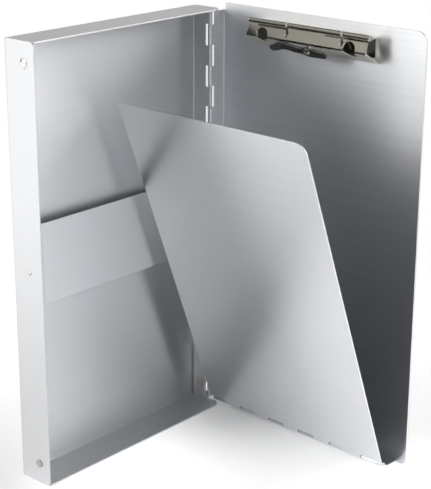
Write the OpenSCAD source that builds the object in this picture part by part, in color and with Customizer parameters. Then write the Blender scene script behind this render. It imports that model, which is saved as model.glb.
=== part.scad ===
// Storage clipboard box: a shallow folded sheet-metal tray with a hinged cover.
// The cover carries a low clip at its head and a writing plate hinged on its
// bottom flange. Stored standing open, as a book stands: the tray's opening
// faces -Y, its back is at +Y, the cover is hinged on the +X side and points
// towards the viewer, and the writing plate leans out of the cover.
// Millimetres, +Z up, origin in the middle of the tray's bottom face.

/* [Tray] */
// Outside width of the tray
tray_w = 148; // [140:1:170]
// Outside height of the tray (its length when it lies flat)
tray_h = 254; // [254:1:270]
// Outside depth of the tray
tray_d = 23; // [22:0.5:30]
// Sheet thickness of tray, cover and writing plate
sheet_t = 0.8; // [0.7:0.05:0.9]
// Outside radius of the folded edges
bend_r = 1.3; // [1:0.1:2]

/* [Main hinge] */
// Distance of the main hinge axis behind the tray's open front
hinge_y = 10.5; // [10.2:0.1:11.2]
// Radius of both hinge pins
pin_r = 0.6; // [0.5:0.05:0.7]
// Running clearance between a pin and its knuckles
pin_gap = 0.05; // [0.02:0.01:0.1]
// Length of one knuckle of the main hinge
knuckle_len = 12.5; // [12:0.1:13]
// Free gap between neighbouring knuckles
knuckle_gap = 0.4; // [0.2:0.05:0.6]

/* [Cover] */
// Angle between the tray's closed position and the cover as stored
open_angle = 87.7; // [87.7:0.1:120]
// Width of the cover sheet, from the hinge axis to the free edge
cover_w = 148.2; // [141:0.1:148.4]
// Height of the cover sheet's top edge
cover_top = 255.4; // [254:0.1:256]
// Height of the cover sheet's bottom edge
cover_bottom = 1.2; // [1:0.05:1.4]
// Distance from the outside of the cover sheet to the main hinge axis
flange_h = 11.6; // [11.5:0.1:12]
// Length of the cover's bottom flange, from the hinge axis
flange_end = 140.9; // [140:0.1:142]

/* [Writing plate] */
// Tilt of the writing plate out of the cover as stored
plate_tilt = 20.5; // [1:0.5:38]
// Length of the writing plate above its hinge axis
plate_len = 221.2; // [200:0.1:226]
// Free edge of the writing plate, from the main hinge axis
plate_end = 139.8; // [139.4:0.1:139.9]
// Corner radius at the plate's free upper corner
plate_r = 6.5; // [2:0.5:12]
// Hinge-side edge of the writing plate, from the main hinge axis
plate_start = 3.2; // [2.5:0.1:4]

/* [Retainer] */
// Height of the retainer strip's lower edge
retainer_z = 101.8; // [90:0.1:110]
// Height of the retainer strip itself
retainer_h = 47.8; // [40:0.1:52]
// Reach of the retainer strip across the tray
retainer_len = 124; // [100:1:124]
// Depth of the retainer strip's front face behind the tray's open front
retainer_y = 16; // [15.5:0.1:17]

/* [Clip] */
// Left and right ends of the clip jaw, from the main hinge axis
jaw_a0 = 30.5; // [29:0.5:31]
jaw_a1 = 117.2; // [116:0.1:118]
// Radius of the clip's hinge rod
rod_r = 0.9; // [0.8:0.05:1]
// Radius of the access holes in the jaw
jaw_hole_r = 4.3; // [3.5:0.1:4.5]
// Downward tilt of the clip's lever
lever_tilt = 38; // [30:1:42]

/* [Hidden] */
$fn = 64;
t = sheet_t;
W = tray_w;
H = tray_h;
D = tray_d;
knuckle_r = pin_r + pin_gap + t;         // outside radius of a rolled knuckle
knuckle_in = pin_r + pin_gap;            // bore of a running knuckle
hinge_x = W - t + knuckle_r;             // main hinge axis
hinge_top = 251.7;
hinge_bottom = 2.1;
first_seam = 243.4;                      // first knuckle seam below the top
window = 2.4;                            // depth of a knuckle window from the axis
flange_a = hinge_x - W;                  // outer face of the cover's hinge flange
plate_n = flange_h - 0.5;                // plate hinge axis above the cover sheet
plate_z = cover_bottom + knuckle_r;      // plate hinge axis height
lower_a0 = 4.4;                          // start of the lower hinge
lower_len = 12;                          // knuckle length of the lower hinge
rod_n = 10.2;                            // clip rod above the cover sheet
rod_z = 249.6;                           // clip rod height
barrel_r = 1.7;                          // outside radius of the clip barrel
gap1 = [58.7, 60.7];                     // spring gaps in the clip barrel
gap2 = [98.2, 100.2];
rivet_a = [42.1, 105.4];                 // clip rivets
rivet_z = 242.2;
lever_a = 77.8;                          // lever pivot, in the middle of the lever's thickness
lever_z = 237.9;
lever_n = 14.6;

alu = [0.80, 0.81, 0.82];
alu_dark = [0.70, 0.71, 0.73];
nickel = [0.66, 0.64, 0.58];
steel = [0.55, 0.55, 0.56];

// ---------- helpers ----------

// Everything is drawn with the tray's lower left front corner at the origin,
// then moved so that the origin is in the middle of the bottom face.
module place() { translate([-W / 2, -D / 2, 0]) children(); }

// Cover frame: x = distance from the main hinge axis towards the free edge,
// y = height above the outside of the cover sheet, z = up.
module in_cover() {
    place() translate([hinge_x, hinge_y, 0]) rotate([0, 0, open_angle])
        translate([0, -flange_h, 0]) mirror([1, 0, 0]) children();
}

// Writing plate frame: as the cover frame, turned about the lower hinge.
module in_plate() {
    in_cover() translate([0, plate_n, plate_z]) rotate([-plate_tilt, 0, 0])
        translate([0, -plate_n, -plate_z]) children();
}

// Rectangle with its two far corners rounded (open side at y = 0).
module pan2d(x0, x1, y0, y1, r) {
    difference() {
        translate([x0, y0]) square([x1 - x0, y1 - y0]);
        for (s = [0, 1]) {
            cx = s == 0 ? x0 : x1;
            mx = s == 0 ? 1 : -1;
            translate([cx, y1]) scale1(mx) difference() {
                translate([-1, -r]) square([r + 1, r + 1]);
                translate([r, -r]) circle(r = r);
                translate([r, -r - 1]) square([1, r + 1]);
            }
        }
    }
}

module scale1(m) { if (m < 0) mirror([1, 0, 0]) children(); else children(); }

// Folded L section: leg1 along +x, leg2 along +y, outer corner at the origin.
module angle2d(l1, l2, r) {
    translate([r, 0]) square([l1 - r, t]);
    translate([0, r]) square([t, l2 - r]);
    intersection() {
        square([r, r]);
        difference() {
            translate([r, r]) circle(r = r);
            translate([r, r]) circle(r = r - t);
        }
    }
}

// Corner cutter: removes a square corner outside a radius r (corner at origin,
// material towards +x and +y).
module corner2d(r) {
    difference() {
        translate([-1, -1]) square([r + 1, r + 1]);
        translate([r, r]) circle(r = r);
    }
}

// Extrude a profile drawn in (y, z) along x from x0 to x1.
module along_x(x0, x1) {
    translate([x0, 0, 0]) rotate([90, 0, 90]) linear_extrude(height = x1 - x0) children();
}

// Extrude a profile drawn in (x, z) along y from y0 to y1.
module along_y(y0, y1) {
    translate([0, y1, 0]) rotate([90, 0, 0]) linear_extrude(height = y1 - y0) children();
}

module cyl_x(r, x0, x1, y, z) {
    translate([x0, y, z]) rotate([0, 90, 0]) cylinder(r = r, h = x1 - x0);
}

module cyl_y(r, y0, y1, x, z) {
    translate([x, y0, z]) rotate([-90, 0, 0]) cylinder(r = r, h = y1 - y0);
}

// Main hinge: span k runs from seam k-1 down to seam k. Even spans from 0 are
// the tray's, odd spans are the cover's.
seams = [for (k = [0 : 20]) k == 0 ? hinge_top : max(first_seam - (k - 1) * knuckle_len, hinge_bottom)];
spans = [for (k = [0 : 19]) [seams[k + 1], seams[k]]];
last_span = [hinge_bottom, seams[20]];

// Lower hinge: even spans are the cover's, odd spans are the plate's.
lower_spans = [for (k = [0 : 11]) [lower_a0 + k * lower_len, min(lower_a0 + (k + 1) * lower_len, plate_end)]];

g = knuckle_gap / 2;

// ---------- tray ----------

module tray_knuckle(z0, z1, bore) {
    translate([hinge_x, hinge_y, z0]) difference() {
        cylinder(r = knuckle_r, h = z1 - z0);
        translate([0, 0, -1]) cylinder(r = bore, h = z1 - z0 + 2);
    }
}

module tray_tab(x0, y0, y1, z0, z1) {
    translate([x0, y0, z0]) cube([t, y1 - y0, z1 - z0]);
}

module tray_shell() {
    color(alu) place() difference() {
        union() {
            difference() {
                intersection() {
                    linear_extrude(height = H) pan2d(0, W, 0, D, bend_r);
                    along_x(0, W) side2d(0, H, 0, D, bend_r);
                }
                intersection() {
                    translate([0, 0, -1]) linear_extrude(height = H + 2)
                        pan2d(t, W - t, -1, D - t, bend_r - t);
                    along_x(-1, W + 1) side2d(t, H - t, -1, D - t, bend_r - t);
                }
                // the hinge-side wall is lower than the others
                translate([W - t - 1, -1, t]) cube([t + 2, hinge_y + 1, H - 2 * t]);
                // rounded free corners of the outer walls
                along_x(-1, t) corner2d(3);
                along_x(-1, t) translate([0, H]) mirror([0, 1]) corner2d(3);
                for (z = [-1, H - t])
                    translate([W, 0, z]) mirror([1, 0, 0])
                        linear_extrude(height = t + 1) corner2d(6.5);
                // windows that let the cover's knuckles turn
                for (k = [1 : 2 : 19])
                    translate([W - t - 1, hinge_y - 1, spans[k][0] - g])
                        cube([t + 2, window + 1, spans[k][1] - spans[k][0] + 2 * g]);
            }
            // corner tabs folded in behind the side walls
            tray_tab(t, 2.5, 14, t / 2, 22);
            tray_tab(t, 2.5, 14, H - 22, H - t / 2);
            tray_tab(W - 2 * t, 13, 20.5, t / 2, 35);
            // rolled knuckles
            for (k = [2 : 2 : 18]) tray_knuckle(spans[k][0] + g, spans[k][1] - g, knuckle_in);
            tray_knuckle(spans[0][0] + g, spans[0][1], pin_r);
            tray_knuckle(last_span[0], last_span[1] - g, pin_r);
        }
        // the knuckle bores and the rivet holes
        for (k = [2 : 2 : 18])
            translate([hinge_x, hinge_y, spans[k][0]]) cylinder(r = knuckle_in, h = spans[k][1] - spans[k][0]);
        translate([hinge_x, hinge_y, spans[0][0]]) cylinder(r = pin_r, h = 12);
        translate([hinge_x, hinge_y, last_span[0] - 0.5]) cylinder(r = pin_r, h = last_span[1] - last_span[0] + 0.5);
        for (z = [12, H - 12]) cyl_x(1.6, -1, 3, 8, z);
        cyl_x(1.6, W - 3, W + 1, 15, 12);
        cyl_x(1, -1, 3, 9.6, retainer_z + retainer_h / 2 + 1);
    }
}

// The same rectangle with rounded far corners, drawn as (y, z).
module side2d(z0, z1, y0, y1, r) {
    difference() {
        translate([y0, z0]) square([y1 - y0, z1 - z0]);
        translate([y1, z0]) mirror([1, 0]) corner2d(r);
        translate([y1, z1]) mirror([1, 0]) mirror([0, 1]) corner2d(r);
    }
}

// Domed rivet: head outside at x = 0 pointing -x, shank towards +x.
module dome_rivet(r_head, h_head, r_shank, grip, r_tail, h_tail) {
    rs = (r_head * r_head + h_head * h_head) / (2 * h_head);
    intersection() {
        translate([rs - h_head, 0, 0]) sphere(r = rs);
        rotate([0, -90, 0]) cylinder(r = r_head + 1, h = h_head + 1);
    }
    rotate([0, 90, 0]) cylinder(r = r_shank, h = grip);
    translate([grip, 0, 0]) rotate([0, 90, 0]) cylinder(r = r_tail, h = h_tail);
}

module tray_rivet_upper() {
    color(alu_dark) place() translate([0, 8, H - 12]) dome_rivet(2.9, 0.6, 1.6, 2 * t, 2.4, 0.9);
}

// Blind rivet body: dished flange outside, hollow, bulb inside.
module blind_rivet() {
    difference() {
        union() {
            translate([-0.7, 0, 0]) rotate([0, 90, 0]) cylinder(r1 = 2.2, r2 = 2.5, h = 0.35);
            translate([-0.35, 0, 0]) rotate([0, 90, 0]) cylinder(r = 2.5, h = 0.35);
            rotate([0, 90, 0]) cylinder(r = 1.6, h = 2 * t + 0.1);
            translate([2 * t, 0, 0]) rotate([0, 90, 0]) cylinder(r = 2.4, h = 1);
        }
        translate([-2, 0, 0]) rotate([0, 90, 0]) cylinder(r = 1.1, h = 8);
        translate([-0.8, 0, 0]) rotate([0, 90, 0]) cylinder(r1 = 1.7, r2 = 1.1, h = 0.6);
    }
}

module tray_rivets_lower() {
    color(nickel) place() {
        translate([0, 8, 12]) blind_rivet();
        translate([W, 15, 12]) mirror([1, 0, 0]) blind_rivet();
    }
}

module mandrel() { translate([-0.45, 0, 0]) rotate([0, 90, 0]) cylinder(r = 1.1, h = 2 * t + 1.45); }

module tray_rivet_mandrels() {
    color(steel) place() {
        translate([0, 8, 12]) mandrel();
        translate([W, 15, 12]) mirror([1, 0, 0]) mandrel();
    }
}

module main_hinge_pin() {
    color(steel) place() translate([hinge_x, hinge_y, hinge_bottom])
        cylinder(r = pin_r, h = hinge_top - hinge_bottom);
}

// Strip across the tray that keeps stored forms against the back, with a
// flange along the inside of the left wall.
module retainer_plate() {
    color(alu) place() difference() {
        translate([t, retainer_y + t, retainer_z]) mirror([0, 1, 0])
            linear_extrude(height = retainer_h) angle2d(retainer_len - t, retainer_y + t - 0.1, bend_r);
        for (m = [0, 1])
            along_y(retainer_y - 1, retainer_y + 3) translate([retainer_len, retainer_z + m * retainer_h])
                mirror([1, 0]) mirror([0, m]) corner2d(3);
        cyl_x(1, 0, 4, 9.6, retainer_z + retainer_h / 2 + 1);
    }
}

module retainer_rivet() {
    color(alu_dark) place() translate([0, 9.6, retainer_z + retainer_h / 2 + 1])
        dome_rivet(1.5, 0.35, 1, 2 * t, 1.8, 0.5);
}

// ---------- cover ----------

module cover_knuckle(z0, z1) {
    translate([0, flange_h, z0]) difference() {
        cylinder(r = knuckle_r, h = z1 - z0);
        translate([0, 0, -1]) cylinder(r = knuckle_in, h = z1 - z0 + 2);
    }
}

module cover_shell() {
    color(alu) in_cover() difference() {
        union() {
            // sheet with its bottom bend and the upper strip above the flange
            difference() {
                union() {
                    translate([flange_a, 0, cover_bottom + 0.3])
                        linear_extrude(height = 251.1 - cover_bottom - 0.3)
                            angle2d(cover_w - flange_a, flange_h, bend_r);
                    translate([2.4, 0, 251]) cube([cover_w - 2.4, t, cover_top - 251]);
                    translate([flange_end, 0, cover_bottom])
                        cube([cover_w - flange_end, t, 2]);
                }
                translate([flange_a - 1, -1, cover_bottom - 1])
                    cube([flange_end - flange_a + 1, t + 2, 1 + bend_r]);
                along_y(-1, t + 1) translate([cover_w, cover_top]) mirror([1, 0]) mirror([0, 1]) corner2d(6.5);
                along_y(-1, t + 1) translate([cover_w, cover_bottom]) mirror([1, 0]) corner2d(3.5);
                along_y(-1, t + 1) translate([2.4, cover_top]) mirror([0, 1]) corner2d(1);
                // windows for the tray's knuckles
                translate([flange_a - 1, flange_h - window, spans[0][0] - g]) cube([t + 2, window + 1, 20]);
                for (k = [2 : 2 : 18])
                    translate([flange_a - 1, flange_h - window, spans[k][0] - g])
                        cube([t + 2, window + 1, spans[k][1] - spans[k][0] + 2 * g]);
                translate([flange_a - 1, flange_h - window, -1]) cube([t + 2, window + 1, last_span[1] + 1 + g]);
            }
            // bottom flange, folded inwards
            difference() {
                along_x(plate_start, flange_end) translate([0, cover_bottom]) angle2d(plate_n, 6, bend_r);
                for (k = [1 : 2 : 11])
                    translate([lower_spans[k][0] - g, plate_n - window, 0])
                        cube([lower_spans[k][1] - lower_spans[k][0] + (k == 11 ? 5 : 2 * g), window + 1, 5]);
            }
            for (k = [1 : 2 : 19]) cover_knuckle(spans[k][0] + g, spans[k][1] - g);
            for (k = [0 : 2 : 10])
                cyl_x(knuckle_r, lower_spans[k][0] + (k == 0 ? 0 : g), lower_spans[k][1] - g, plate_n, plate_z);
        }
        for (k = [1 : 2 : 19])
            translate([0, flange_h, spans[k][0]]) cylinder(r = knuckle_in, h = spans[k][1] - spans[k][0]);
        for (k = [0 : 2 : 10])
            cyl_x(k == 0 || k == 10 ? pin_r : knuckle_in, lower_spans[k][0] - 0.5, lower_spans[k][1] + 0.1, plate_n, plate_z);
        for (a = rivet_a) cyl_y(1.5, -1, 3, a, rivet_z);
    }
}

module plate_hinge_pin() {
    color(steel) in_cover() cyl_x(pin_r, lower_a0, plate_end, plate_n, plate_z);
}

module writing_plate() {
    color(alu) in_plate() difference() {
        union() {
            difference() {
                translate([plate_start, plate_n + knuckle_r - t, plate_z]) cube([plate_end - plate_start, t, plate_len]);
                along_y(plate_n - 1, plate_n + 4) {
                    translate([plate_start, plate_z + plate_len]) mirror([0, 1]) corner2d(1.8);
                    translate([plate_end, plate_z + plate_len]) mirror([1, 0]) mirror([0, 1]) corner2d(plate_r);
                }
                for (k = [0 : 2 : 10])
                    translate([lower_spans[k][0] - (k == 0 ? 2 : g), plate_n, plate_z - 1])
                        cube([lower_spans[k][1] - lower_spans[k][0] + (k == 0 ? 2 + g : 2 * g), 4, window + 1]);
            }
            for (k = [1 : 2 : 11])
                cyl_x(knuckle_r, lower_spans[k][0] + g, lower_spans[k][1] - (k == 11 ? 0 : g), plate_n, plate_z);
        }
        for (k = [1 : 2 : 11])
            cyl_x(knuckle_in, lower_spans[k][0] - 0.1, lower_spans[k][1] + 0.1, plate_n, plate_z);
    }
}

// ---------- clip ----------

// Base: plate on the cover sheet, wall and the two outer barrel sections.
module clip_base() {
    color(nickel) in_cover() difference() {
        union() {
            translate([29.2, t, 237.4]) cube([86, t, rod_z - barrel_r + t - 237.4]);
            translate([31.2, t, rod_z - barrel_r]) cube([84, rod_n - t, t]);
            cyl_x(barrel_r, 31.2, gap1[0], rod_n, rod_z);
            cyl_x(barrel_r, gap2[1], 117.6, rod_n, rod_z);
        }
        // notch for the jaw's barrel and the springs
        translate([gap1[0], 6.4, 247]) cube([gap2[1] - gap1[0], 7, 6]);
        cyl_x(rod_r, 30, 122, rod_n, rod_z);
        for (a = rivet_a) cyl_y(1.5, -1, 3, a, rivet_z);
    }
}

module clip_rod() {
    color(steel) in_cover() union() {
        cyl_x(rod_r, 30.6, 118.2, rod_n, rod_z);
        cyl_x(1.3, 30.2, 31, rod_n, rod_z);
        cyl_x(1.3, 117.8, 118.6, rod_n, rod_z);
    }
}

// Section of the jaw in (height above the sheet, z): face, bend, gripping lip.
jaw_t = 0.9;
jaw_bend = [13.6, 241];                  // outer corner of the bend
jaw_top = [11.37, 248.7];                // outer line of the face, at the barrel
jaw_lip = [2.1, 234.6];                  // outer corner of the lip's edge
jaw_r = 1.4;                             // outside radius of the bend

module jaw2d() {
    v1 = jaw_top - jaw_bend;
    v2 = jaw_lip - jaw_bend;
    u1 = v1 / norm(v1);
    u2 = v2 / norm(v2);
    h = acos(u1 * u2) / 2;
    t1 = jaw_bend + u1 * jaw_r / tan(h);
    t2 = jaw_bend + u2 * jaw_r / tan(h);
    m = (u1 + u2) / norm(u1 + u2);
    c = jaw_bend + m * (jaw_r / sin(h));
    difference() {
        polygon([jaw_top, jaw_bend, jaw_lip, jaw_lip + (c - t2) / jaw_r * jaw_t,
            jaw_bend + m * (jaw_t / sin(h)), jaw_top + (c - t1) / jaw_r * jaw_t]);
        difference() {
            polygon([c, t1, 2 * jaw_bend - c, t2]);
            translate(c) circle(r = jaw_r);
        }
    }
}

module clip_jaw() {
    color(nickel) in_cover() difference() {
        union() {
            difference() {
                along_x(jaw_a0, jaw_a1) jaw2d();
                // the face stops below the base's barrel sections
                for (s = [[jaw_a0 - 1, gap1[1]], [gap2[0], jaw_a1 + 1]])
                    translate([s[0], 8, rod_z - barrel_r - 0.5]) cube([s[1] - s[0], 7, 5]);
                // tapered left end
                along_y(9, 16) polygon([[jaw_a0 - 1, 250], [jaw_a0 + 2, 250], [jaw_a0 + 2, 248], [jaw_a0, 241.6], [jaw_a0 - 1, 241.6]]);
                // slots that the spring legs come out of
                for (s = [gap1, gap2])
                    along_y(10, 15) translate([(s[0] + s[1]) / 2, 0])
                        polygon([[-0.15, 246.95], [1, 246.95], [1.9, 245.6], [0.9, 243.8], [-0.15, 244.9]]);
                // slit below the rolled barrel
                translate([88, 11, 247.45]) cube([gap2[0] - 88 + 1, 3, 0.35]);
            }
            cyl_x(barrel_r, gap1[1], gap2[0], rod_n, rod_z);
        }
        cyl_x(rod_r + 0.05, 50, 110, rod_n, rod_z);
        for (a = rivet_a) cyl_y(jaw_hole_r, 5, 16, a, rivet_z);
        on_lever() cyl_y(1, -7, -1, 0, 0);
    }
}

// Torsion spring: two turns round the rod, one leg that passes behind the
// jaw's face and out through its slot, and one in towards the base.
module torsion_spring() {
    for (k = [-1, 1])
        translate([k * 0.37, rod_n, rod_z]) rotate([0, 90, 0]) rotate_extrude() translate([1.4, 0]) circle(r = 0.4);
    wire([[10.56, 248.25], [10.05, 246.9], [12.95, 245.1], [13.3, 243.9]], 0.39);
    wire([[8.8, 249.6], [2.5, 240.8]], -0.39);
}

// Wire through points given as (height above the sheet, z).
module wire(pts, a) {
    for (i = [0 : len(pts) - 1]) {
        translate([a, pts[i][0], pts[i][1]]) sphere(r = 0.43);
        if (i > 0) {
            v = pts[i] - pts[i - 1];
            translate([a, pts[i - 1][0], pts[i - 1][1]])
                rotate([-atan2(v[0], v[1]), 0, 0]) cylinder(r = 0.4, h = norm(v));
        }
    }
}

module clip_springs() {
    color(steel) in_cover() {
        translate([(gap1[0] + gap1[1]) / 2, 0, 0]) torsion_spring();
        translate([(gap2[0] + gap2[1]) / 2, 0, 0]) torsion_spring();
    }
}

// Lever frame: origin in the lever's pivot, y along the pivot, outwards.
module on_lever() { translate([lever_a, lever_n, lever_z]) rotate([-lever_tilt, 0, 0]) children(); }

// Lever below the jaw's lip: thumb pad on the left, tail on the right.
module clip_lever() {
    color(nickel) in_cover() on_lever() difference() {
        union() {
            along_y(-0.45, 0.45)
                polygon([[-26.6, 0.2], [-21.4, 2.8], [-16.8, 4.3], [-14.2, 4.2], [-7.5, 2.4], [-3, 2], [0, 2.6], [5.4, 2.2],
                    [10.6, 1.1], [10.6, -3.7], [2.7, -4], [0, -4], [-4.3, -2.7], [-11.1, -2.2], [-14.6, -1.3],
                    [-18.2, -1.3], [-22.4, -2.9], [-26.6, -4]]);
            cyl_y(2.1, -0.45, 0.45, -26.6, -1.9);
            cyl_y(2.4, -0.45, 0.45, 10.6, -1.3);
            cyl_y(3.2, -0.45, 0.45, 0, -0.4);
        }
        cyl_y(1.05, -2, 2, 0, 0);
    }
}

module clip_lever_rivet() {
    color(nickel) in_cover() on_lever() union() {
        cyl_y(1, -5.8, 1, 0, 0);
        cyl_y(1.7, -5.9, -5.3, 0, 0);
        cyl_y(1.7, -2.6, -0.55, 0, 0);
        cyl_y(2, 0.55, 0.9, 0, 0);
        intersection() {
            translate([0, -1.9, 0]) sphere(r = sqrt(2.8 * 2.8 + 4));
            cyl_y(2, 0.9, 2, 0, 0);
        }
    }
}

module clip_mount_rivets() {
    color(steel) in_cover() for (a = rivet_a)
        translate([a, 0, rivet_z]) rotate([0, 0, 90]) dome_rivet(3, 0.7, 1.5, 2 * t, 2.6, 0.9);
}

// ---------- nodes ----------

tray_shell();
tray_rivet_upper();
tray_rivets_lower();
tray_rivet_mandrels();
retainer_plate();
retainer_rivet();
main_hinge_pin();
cover_shell();
plate_hinge_pin();
writing_plate();
clip_base();
clip_rod();
clip_mount_rivets();
clip_jaw();
clip_springs();
clip_lever();
clip_lever_rivet();
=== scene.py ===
import math

import bpy
from mathutils import Matrix, Vector

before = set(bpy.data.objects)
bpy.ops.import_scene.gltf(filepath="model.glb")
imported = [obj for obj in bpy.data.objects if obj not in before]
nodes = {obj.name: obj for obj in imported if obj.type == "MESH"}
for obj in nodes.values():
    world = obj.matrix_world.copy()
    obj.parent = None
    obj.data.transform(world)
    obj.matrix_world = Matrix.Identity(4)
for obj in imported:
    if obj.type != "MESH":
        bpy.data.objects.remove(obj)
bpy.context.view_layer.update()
scene = bpy.context.scene

MM = 0.001
W, D, H = 148.0, 23.0, 254.0
HX, HY, HC = 148.65, 10.5, 11.6
TH = math.radians(87.7)

# ---------------------------------------------------------------- frames of the parts
# Tray frame: the row frame itself. Cover frame: u = towards the free edge, v = up, w = out of the inner face.
cover_u = Vector((-math.cos(TH), -math.sin(TH), 0.0))
cover_n = Vector((-math.sin(TH), math.cos(TH), 0.0))


def cover_point(a, n, z):
    x = HX - a * math.cos(TH) + (HC - n) * math.sin(TH)
    y = HY - a * math.sin(TH) - (HC - n) * math.cos(TH)
    return Vector(((x - W / 2) * MM, (y - D / 2) * MM, z * MM))


# ---------------------------------------------------------------- node helpers
def new_mat(name):
    m = bpy.data.materials.new(name)
    m.use_nodes = True
    nt = m.node_tree
    for n in list(nt.nodes):
        nt.nodes.remove(n)
    out = nt.nodes.new("ShaderNodeOutputMaterial")
    b = nt.nodes.new("ShaderNodeBsdfPrincipled")
    nt.links.new(b.outputs["BSDF"], out.inputs["Surface"])
    return m, nt, b


def node(nt, kind, **props):
    n = nt.nodes.new(kind)
    for k, v in props.items():
        setattr(n, k, v)
    return n


def math_node(nt, op, a, b=None, clamp=False):
    n = node(nt, "ShaderNodeMath", operation=op, use_clamp=clamp)
    for i, v in enumerate((a, b)):
        if v is None:
            continue
        if isinstance(v, (int, float)):
            n.inputs[i].default_value = v
        else:
            nt.links.new(v, n.inputs[i])
    return n.outputs[0]


def local_coords(nt, u_dir, v_dir, w_dir):
    """Object coordinates turned into a part's own frame."""
    tc = node(nt, "ShaderNodeTexCoord")
    outs = []
    for d in (u_dir, v_dir, w_dir):
        dot = node(nt, "ShaderNodeVectorMath", operation="DOT_PRODUCT")
        nt.links.new(tc.outputs["Object"], dot.inputs[0])
        dot.inputs[1].default_value = tuple(d)
        outs.append(dot.outputs["Value"])
    comb = node(nt, "ShaderNodeCombineXYZ")
    for o, i in zip(outs, comb.inputs):
        nt.links.new(o, i)
    return comb.outputs[0]


def stretched_noise(nt, vec, scale, detail=3.0, rough=0.55):
    mp = node(nt, "ShaderNodeMapping")
    nt.links.new(vec, mp.inputs["Vector"])
    mp.inputs["Scale"].default_value = scale
    nz = node(nt, "ShaderNodeTexNoise")
    nz.inputs["Scale"].default_value = 1.0
    nz.inputs["Detail"].default_value = detail
    nz.inputs["Roughness"].default_value = rough
    nt.links.new(mp.outputs[0], nz.inputs["Vector"])
    return nz.outputs["Fac"]


def ramp(nt, fac, p0, c0, p1, c1):
    r = node(nt, "ShaderNodeValToRGB")
    r.color_ramp.elements[0].position = p0
    r.color_ramp.elements[0].color = (*c0, 1) if len(c0) == 3 else c0
    r.color_ramp.elements[1].position = p1
    r.color_ramp.elements[1].color = (*c1, 1) if len(c1) == 3 else c1
    nt.links.new(fac, r.inputs["Fac"])
    return r.outputs["Color"]


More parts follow.
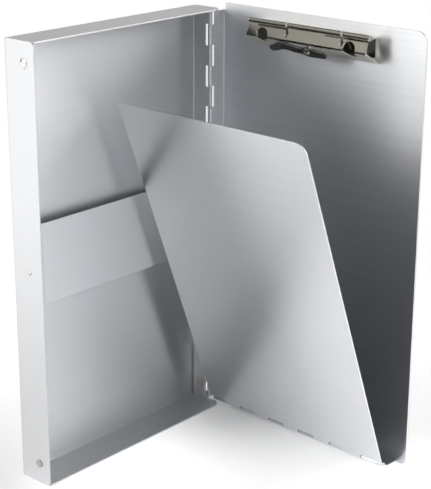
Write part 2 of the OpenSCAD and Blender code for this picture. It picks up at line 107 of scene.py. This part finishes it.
def brushed(name, u_dir, v_dir, w_dir, base=(0.679, 0.689, 0.705), dark=(0.645, 0.656, 0.675), rough=0.40, spread=0.04, aniso=0.86,
            grain=(9.0, 3200.0, 3200.0), bump=0.05, edge=0.0005, edge_wear_highlight_col=(0.95, 0.955, 0.96), shaded_facing=None):
    """Satin metal with its rolling grain along u, which blurs reflections along v.
    An optional (direction, factor) pair paints shade: faces that look in that direction are darkened, down to factor."""
    m, nt, b = new_mat(name)
    vec = local_coords(nt, u_dir, v_dir, w_dir)
    fine = stretched_noise(nt, vec, grain, 4.0, 0.65)
    mid = stretched_noise(nt, vec, (grain[0] * 0.5, grain[1] * 0.16, grain[2] * 0.16), 3.0, 0.6)
    cloud = stretched_noise(nt, vec, (22.0, 22.0, 22.0), 3.0, 0.5)
    mix = math_node(nt, "ADD", math_node(nt, "MULTIPLY", fine, 0.55), math_node(nt, "MULTIPLY", mid, 0.45))
    col = ramp(nt, mix, 0.30, dark, 0.66, base)
    tint = node(nt, "ShaderNodeMix", data_type="RGBA", blend_type="MULTIPLY")
    tint.inputs["Factor"].default_value = 1.0
    nt.links.new(col, tint.inputs["A"])
    nt.links.new(ramp(nt, cloud, 0.3, (0.97, 0.975, 0.98), 0.7, (1.0, 1.0, 1.0)), tint.inputs["B"])
    # edges rubbed to bare metal, together with a painted highlight: edges are lightened towards the edge colour
    bev = node(nt, "ShaderNodeBevel", samples=6)
    bev.inputs["Radius"].default_value = edge
    geo = node(nt, "ShaderNodeNewGeometry")
    dot = node(nt, "ShaderNodeVectorMath", operation="DOT_PRODUCT")
    nt.links.new(bev.outputs["Normal"], dot.inputs[0])
    nt.links.new(geo.outputs["Normal"], dot.inputs[1])
    edge_wear_and_light = math_node(nt, "MULTIPLY", math_node(nt, "SUBTRACT", 1.0, dot.outputs["Value"]), 2.2, clamp=True)
    rubbed_and_highlit_edge = math_node(nt, "MULTIPLY", edge_wear_and_light, math_node(nt, "ADD", 0.35, cloud), clamp=True)
    edge_wear_and_highlight = node(nt, "ShaderNodeMix", data_type="RGBA")
    nt.links.new(rubbed_and_highlit_edge, edge_wear_and_highlight.inputs["Factor"])
    nt.links.new(tint.outputs["Result"], edge_wear_and_highlight.inputs["A"])
    edge_wear_and_highlight.inputs["B"].default_value = (*edge_wear_highlight_col, 1)
    skin = edge_wear_and_highlight.outputs["Result"]
    # painted shade: nearly frontal faces that look along the given direction are darkened
    if shaded_facing:
        otc = node(nt, "ShaderNodeTexCoord")
        facing_shade_dot = node(nt, "ShaderNodeVectorMath", operation="DOT_PRODUCT")
        nt.links.new(otc.outputs["Normal"], facing_shade_dot.inputs[0])
        facing_shade_dot.inputs[1].default_value = tuple(shaded_facing[0])
        facing_shade_ramp = node(nt, "ShaderNodeMapRange", interpolation_type="SMOOTHSTEP")
        nt.links.new(facing_shade_dot.outputs["Value"], facing_shade_ramp.inputs[0])
        for i, v in ((1, 0.72), (2, 0.93), (3, 1.0), (4, shaded_facing[1])):
            facing_shade_ramp.inputs[i].default_value = v
        painted_facing_shade = node(nt, "ShaderNodeMix", data_type="RGBA", blend_type="MULTIPLY")
        painted_facing_shade.inputs["Factor"].default_value = 1.0
        nt.links.new(skin, painted_facing_shade.inputs["A"])
        nt.links.new(facing_shade_ramp.outputs[0], painted_facing_shade.inputs["B"])
        skin = painted_facing_shade.outputs["Result"]
    nt.links.new(skin, b.inputs["Base Color"])
    b.inputs["Metallic"].default_value = 1.0
    r = math_node(nt, "ADD", rough - spread / 2, math_node(nt, "MULTIPLY", mix, spread))
    r = math_node(nt, "ADD", r, math_node(nt, "MULTIPLY", cloud, 0.03))
    nt.links.new(r, b.inputs["Roughness"])
    b.inputs["Anisotropic"].default_value = aniso
    tan = node(nt, "ShaderNodeVectorTransform", vector_type="VECTOR", convert_from="OBJECT", convert_to="WORLD")
    tan.inputs["Vector"].default_value = tuple(v_dir)
    nt.links.new(tan.outputs["Vector"], b.inputs["Tangent"])
    bp = node(nt, "ShaderNodeBump")
    bp.inputs["Strength"].default_value = bump
    bp.inputs["Distance"].default_value = 0.00004
    nt.links.new(mix, bp.inputs["Height"])
    nt.links.new(bev.outputs["Normal"], bp.inputs["Normal"])
    nt.links.new(bp.outputs["Normal"], b.inputs["Normal"])
    return m


X, Y, Z = Vector((1, 0, 0)), Vector((0, 1, 0)), Vector((0, 0, 1))
PT = math.radians(20.5)
plate_v = (Z * math.cos(PT) + cover_n * math.sin(PT))
plate_w = (cover_n * math.cos(PT) - Z * math.sin(PT))

tray_mat = brushed("tray_sheet", X, Z, Y)
cover_mat = brushed("cover_sheet", cover_u, Z, cover_n, base=(0.742, 0.760, 0.788), dark=(0.662, 0.680, 0.708), bump=0.11, rough=0.36, aniso=0.94)
plate_mat = brushed("plate_sheet", cover_u, plate_v, plate_w, base=(0.765, 0.774, 0.790), dark=(0.732, 0.743, 0.761))
retainer_mat = brushed("retainer_sheet", X, Z, Y)
# the nickel's faces that look along cover_n get painted shade, darkened to 0.115 of their colour
nickel = brushed("nickel_plate", cover_u, Z, cover_n, base=(0.86, 0.83, 0.735), dark=(0.75, 0.725, 0.635), rough=0.2, spread=0.06, aniso=0.0,
                 grain=(60.0, 900.0, 900.0), bump=0.04, edge=0.0005, edge_wear_highlight_col=(0.97, 0.95, 0.90), shaded_facing=(cover_n, 0.115))
# the dark lever's edges are lightened towards a pale colour: a painted highlight along its rim
lever_mat = brushed("lever_steel", cover_u, Z, cover_n, base=(0.05, 0.05, 0.046), dark=(0.03, 0.03, 0.027), rough=0.26, spread=0.08, aniso=0.0,
                    grain=(200.0, 600.0, 600.0), edge=0.0004, edge_wear_highlight_col=(0.85, 0.83, 0.77))
pin_mat = brushed("pin_wire", Z, X, Y, base=(0.62, 0.62, 0.63), dark=(0.5, 0.5, 0.51), rough=0.25, spread=0.1, aniso=0.0,
                  grain=(60.0, 1500.0, 1500.0), edge=0.0002)
spring_mat = brushed("spring_wire", cover_u, Z, cover_n, base=(0.62, 0.61, 0.58), dark=(0.46, 0.45, 0.43), rough=0.28, spread=0.1, aniso=0.0,
                     grain=(400.0, 400.0, 400.0), edge=0.0002, edge_wear_highlight_col=(0.6, 0.6, 0.58))
rivet_mat = brushed("rivet_metal", X, Z, Y, base=(0.70, 0.69, 0.67), dark=(0.60, 0.59, 0.58), rough=0.16, spread=0.1, aniso=0.0,
                    grain=(300.0, 300.0, 300.0), edge=0.0003)
blind_mat = brushed("blind_rivet_metal", X, Z, Y, base=(0.64, 0.625, 0.56), dark=(0.50, 0.49, 0.44), rough=0.3, spread=0.1, aniso=0.0,
                    grain=(400.0, 400.0, 400.0), edge=0.0003, edge_wear_highlight_col=(0.6, 0.58, 0.52))

ASSIGN = {
    "tray_shell": tray_mat, "retainer_plate": retainer_mat, "cover_shell": cover_mat, "writing_plate": plate_mat,
    "tray_rivet_upper": rivet_mat, "retainer_rivet": rivet_mat, "clip_mount_rivets": rivet_mat,
    "tray_rivets_lower": blind_mat, "tray_rivet_mandrels": pin_mat, "main_hinge_pin": pin_mat, "plate_hinge_pin": pin_mat,
    "clip_base": nickel, "clip_jaw": nickel, "clip_lever": lever_mat, "clip_lever_rivet": nickel, "clip_rod": pin_mat, "clip_springs": spring_mat,
}
for name, mat in ASSIGN.items():
    o = nodes[name]
    if not o.material_slots:
        o.data.materials.append(mat)
    for s in o.material_slots:
        s.material = mat

# ---------------------------------------------------------------- floor
# A pale paper floor whose emission paints light and shade: its zones glow at different strengths, from a near-dark
# painted shadow in the wedge under the leaning writing plate to bright painted pools in front of the part; further out
# it glows more to the rear and the west.
bpy.ops.mesh.primitive_plane_add(size=6.0, location=(0, 0, 0))
floor = bpy.context.object
floor.name = "studio_floor"
fm, fnt, fb = new_mat("studio_floor_painted_light")
fb.inputs["Base Color"].default_value = (0.82, 0.83, 0.84, 1)
fb.inputs["Roughness"].default_value = 1.0
fb.inputs["Specular IOR Level"].default_value = 0.0
fb.inputs["Emission Color"].default_value = (1, 1, 1, 1)
floor.data.materials.append(fm)


def window(nt, value, lo, hi, soft=0.05):
    edges = []
    for at, y0, y1 in ((lo, 0.0, 1.0), (hi, 1.0, 0.0)):
        n = node(nt, "ShaderNodeMapRange", interpolation_type="SMOOTHSTEP")
        nt.links.new(value, n.inputs[0])
        n.inputs[1].default_value = at - soft
        n.inputs[2].default_value = at + soft
        n.inputs[3].default_value = y0
        n.inputs[4].default_value = y1
        edges.append(n.outputs[0])
    return math_node(nt, "MULTIPLY", edges[0], edges[1])


def tx(v):
    return (v - W / 2) * MM


def ty(v):
    return (v - D / 2) * MM


FAR = 2.0
FLOOR_LIGHT_SHADE_ZONES = (
    # x0, x1, y0, y1 in metres, strength of the painted light; all within 0.35 m of the part
    # painted shadow in the wedge under the leaning writing plate
    (tx(105), tx(175), ty(-55), ty(30), 0.02),
    (tx(0), tx(175), ty(-150), ty(-55), 0.40),
    (tx(0), tx(105), ty(-55), ty(30), 0.80),
    (-FAR, tx(0), -FAR, FAR, 0.25),
    (tx(0), FAR, ty(30), FAR, 0.559),
    (tx(175), FAR, -FAR, ty(30), 0.50),
    (tx(0), tx(80), -FAR, ty(-150), 4.4),
    (tx(80), tx(175), -FAR, ty(-150), 1.873),
)
ftc = node(fnt, "ShaderNodeTexCoord")
fsep = node(fnt, "ShaderNodeSeparateXYZ")
fnt.links.new(ftc.outputs["Object"], fsep.inputs[0])
fx = fsep.outputs[0]
fy = fsep.outputs[1]
fyc = math_node(fnt, "ADD", fy, 0.06)
rad = math_node(fnt, "SQRT", math_node(fnt, "ADD", math_node(fnt, "MULTIPLY", fx, fx), math_node(fnt, "MULTIPLY", fyc, fyc)))
near = window(fnt, rad, -1.0, 0.38, 0.12)
far = window(fnt, rad, 0.38, 9.0, 0.12)
painted_floor_light = None
for x0, x1, y0, y1, s in FLOOR_LIGHT_SHADE_ZONES:
    z = math_node(fnt, "MULTIPLY", math_node(fnt, "MULTIPLY", window(fnt, fx, x0, x1), window(fnt, fy, y0, y1)), s)
    painted_floor_light = z if painted_floor_light is None else math_node(fnt, "ADD", painted_floor_light, z)
painted_floor_light = math_node(fnt, "MULTIPLY", painted_floor_light, near)
rear = window(fnt, fyc, 0.0, 9.0, 0.18)
west = window(fnt, fx, -9.0, 0.0, 0.25)
beyond = math_node(fnt, "MULTIPLY", rear, math_node(fnt, "ADD", 0.39, math_node(fnt, "MULTIPLY", west, 0.5)))
beyond = math_node(fnt, "MULTIPLY", far, math_node(fnt, "ADD", beyond, 0.08))
painted_floor_light = math_node(fnt, "ADD", painted_floor_light, beyond)
fnt.links.new(painted_floor_light, fb.inputs["Emission Strength"])

# ---------------------------------------------------------------- camera
AZ, EL, ROLL = math.radians(-48.7729), math.radians(18.3842), math.radians(0.1695)
F_PX, CX, CY = 1397.0934, 214.0022, 237.6339
back = Vector((math.sin(AZ) * math.cos(EL), -math.cos(AZ) * math.cos(EL), math.sin(EL)))
right = (-back).cross(Z).normalized()
up = right.cross(-back)
r2 = right * math.cos(ROLL) + up * math.sin(ROLL)
u2 = up * math.cos(ROLL) - right * math.sin(ROLL)
cam_data = bpy.data.cameras.new("photo_camera")
cam = bpy.data.objects.new("photo_camera", cam_data)
scene.collection.objects.link(cam)
loc = Vector((-471.4006 - W / 2, -536.3987 - D / 2, 384.6742)) * MM
cam.matrix_world = Matrix(((r2.x, u2.x, back.x, loc.x), (r2.y, u2.y, back.y, loc.y), (r2.z, u2.z, back.z, loc.z), (0, 0, 0, 1)))
cam_data.sensor_fit = "HORIZONTAL"
cam_data.sensor_width = 36.0
cam_data.lens = F_PX / 431.0 * 36.0
cam_data.shift_x = (215.5 - CX) / 431.0
cam_data.shift_y = (CY - 244.5) / 431.0
cam_data.clip_start = 0.01
cam_data.clip_end = 50.0
scene.camera = cam

# ---------------------------------------------------------------- light
# A tent of soft white lights around the part: each lobe is azimuth (from +Y towards +X), elevation, tightness, strength.
LOBES = (
    (304, 11, 90, 4.5),
    (290, 11, 90, 1.6),
    (276, 11, 90, 0.352),
    (262, 11, 90, 1.488),
    (304, 24, 60, 0.863),
    (205, 47, 20, 1.8),
    (300, 58, 150, 3.0),
    (315, 10, 12, 1.205),
    (270, 10, 12, 1.349),
    (135, 10, 12, 2.731),
    (45, 10, 12, 1.158),
    (135, 32, 10, 1.72),
    (315, 32, 10, 0.736),
)
world = bpy.data.worlds.new("studio")
scene.world = world
world.use_nodes = True
wnt = world.node_tree
bg = wnt.nodes["Background"]
bg.inputs["Color"].default_value = (1.0, 0.981, 0.956, 1)
wtc = node(wnt, "ShaderNodeTexCoord")
sky = None
for az, el, kappa, power in LOBES:
    a, e = math.radians(az), math.radians(el)
    dot = node(wnt, "ShaderNodeVectorMath", operation="DOT_PRODUCT")
    wnt.links.new(wtc.outputs["Generated"], dot.inputs[0])
    dot.inputs[1].default_value = (math.sin(a) * math.cos(e), math.cos(a) * math.cos(e), math.sin(e))
    lobe = math_node(wnt, "EXPONENT", math_node(wnt, "MULTIPLY", math_node(wnt, "SUBTRACT", dot.outputs["Value"], 1.0), float(kappa)))
    lobe = math_node(wnt, "MULTIPLY", lobe, power)
    sky = lobe if sky is None else math_node(wnt, "ADD", sky, lobe)
wnt.links.new(sky, bg.inputs["Strength"])

scene.view_settings.view_transform = "Standard"
scene.view_settings.look = "None"
